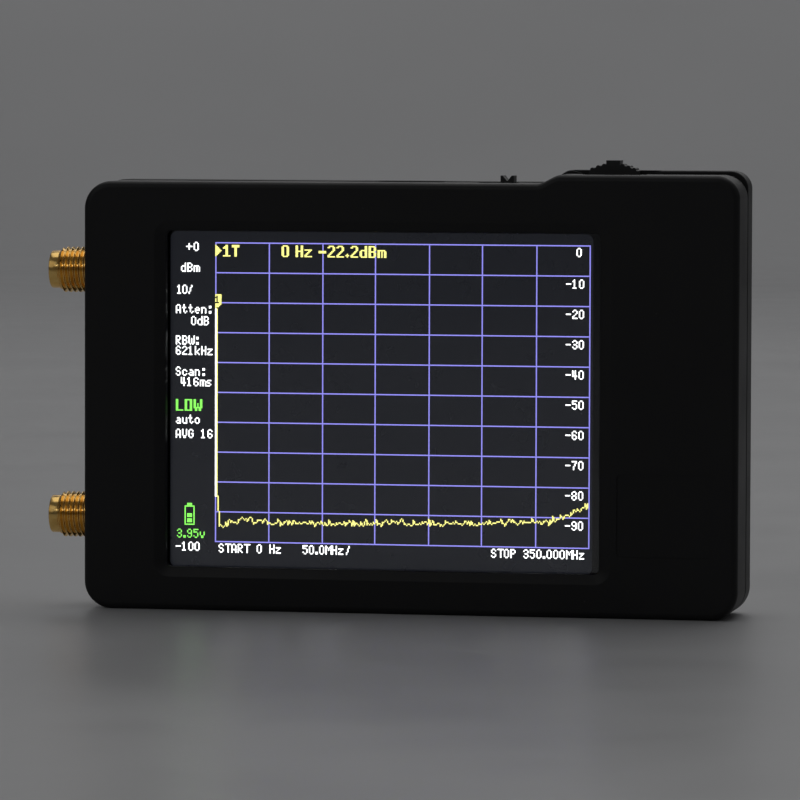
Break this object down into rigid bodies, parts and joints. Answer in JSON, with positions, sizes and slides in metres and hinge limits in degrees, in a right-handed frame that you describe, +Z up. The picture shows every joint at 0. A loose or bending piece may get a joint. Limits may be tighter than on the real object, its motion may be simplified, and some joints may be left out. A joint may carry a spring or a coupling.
{
  "type": "handheld vector network analyzer",
  "caption": "Slim black handheld radio-frequency analyser with a colour touch display, coaxial jacks on its left side, and a USB-C port, slide switch and rocking jog key on its top edge.",
  "frame": {"origin": "under the middle of the whole object, on the surface that its long bottom edge stands on", "axes": "+X to the viewer's right, away from the jacks; +Y from the display into the case; +Z up to the edge with the jog key"},
  "size_m": [0.0972, 0.0152, 0.0624],
  "materials": {
    "case_plastic": "fine moulded texture, satin black",
    "key_plastic": "moulded black, slightly worn on the ribs",
    "screw_steel": "black oxide",
    "foam": "closed-cell foam",
    "touch_glass": "clear coated film on glass",
    "cell_glass": "dark display cell, lit from behind",
    "backlight_plastic": "white moulded tray",
    "flex_film": "amber polyimide film",
    "board_laminate": "solder-masked laminate",
    "chip_epoxy": "moulded epoxy",
    "can_steel": "tinned sheet",
    "cell_foil": "laminated foil",
    "gold_plate": "gold plated",
    "ptfe": "waxy white",
    "connector_plastic": "natural nylon",
    "black_nylon": "black nylon",
    "red_wire": "silicone sleeve",
    "black_wire": "silicone sleeve",
    "led_resin": "clear resin",
    "display_white": "lit white dots of the display",
    "display_yellow": "lit yellow dots of the display",
    "display_green": "lit green dots of the display",
    "display_grid": "lit blue grid lines of the display"
  },
  "bodies": {
    "case": {"front_case": "case_plastic", "rear_case": "case_plastic", "case_screw_1": "screw_steel", "case_screw_2": "screw_steel", "case_screw_3": "screw_steel", "case_screw_4": "screw_steel", "window_gasket": "foam", "battery_tape": "foam", "touch_panel": "touch_glass", "lcd_cell": "cell_glass", "backlight_tray": "backlight_plastic", "display_flex": "flex_film", "touch_flex": "flex_film", "main_board": "board_laminate", "microcontroller": "chip_epoxy", "mixer_chip": "chip_epoxy", "synthesizer_chip": "chip_epoxy", "receiver_chip": "chip_epoxy", "charger_chip": "chip_epoxy", "reference_oscillator": "can_steel", "band_filter": "can_steel", "shield_frame": "can_steel", "shield_lid": "can_steel", "usb_shell": "can_steel", "switch_housing": "can_steel", "jog_housing": "can_steel", "battery_pouch": "cell_foil", "upper_jack_body": "gold_plate", "lower_jack_body": "gold_plate", "upper_jack_contact": "gold_plate", "lower_jack_contact": "gold_plate", "upper_jack_dielectric": "ptfe", "lower_jack_dielectric": "ptfe", "battery_plug": "connector_plastic", "usb_tongue": "black_nylon", "battery_lead_red": "red_wire", "battery_lead_black": "black_wire", "charge_led": "led_resin"},
    "power_slider": {"switch_slider": "black_nylon", "switch_knob": "key_plastic"},
    "jog_press": {"jog_plunger": "black_nylon"},
    "jog_rocker": {"jog_lever": "black_nylon", "jog_cap": "key_plastic"}
  },
  "joints": [
    {"name": "power_slide", "type": "slide", "parent": "case", "child": "power_slider", "axis": [1, 0, 0], "range_m": [-0.003, 0]},
    {"name": "jog_push", "type": "slide", "parent": "case", "child": "jog_press", "axis": [0, 0, -1], "range_m": [0, 0.00035], "stiffness_N_per_m": 400, "springref_m": -0.0004},
    {"name": "jog_rock", "type": "hinge", "parent": "jog_press", "child": "jog_rocker", "pos_m": [0.0303, 0.0003, 0.05495], "axis": [0, 1, 0], "range_deg": [-8, 8], "stiffness_Nm_per_rad": 0.01}
  ]
}
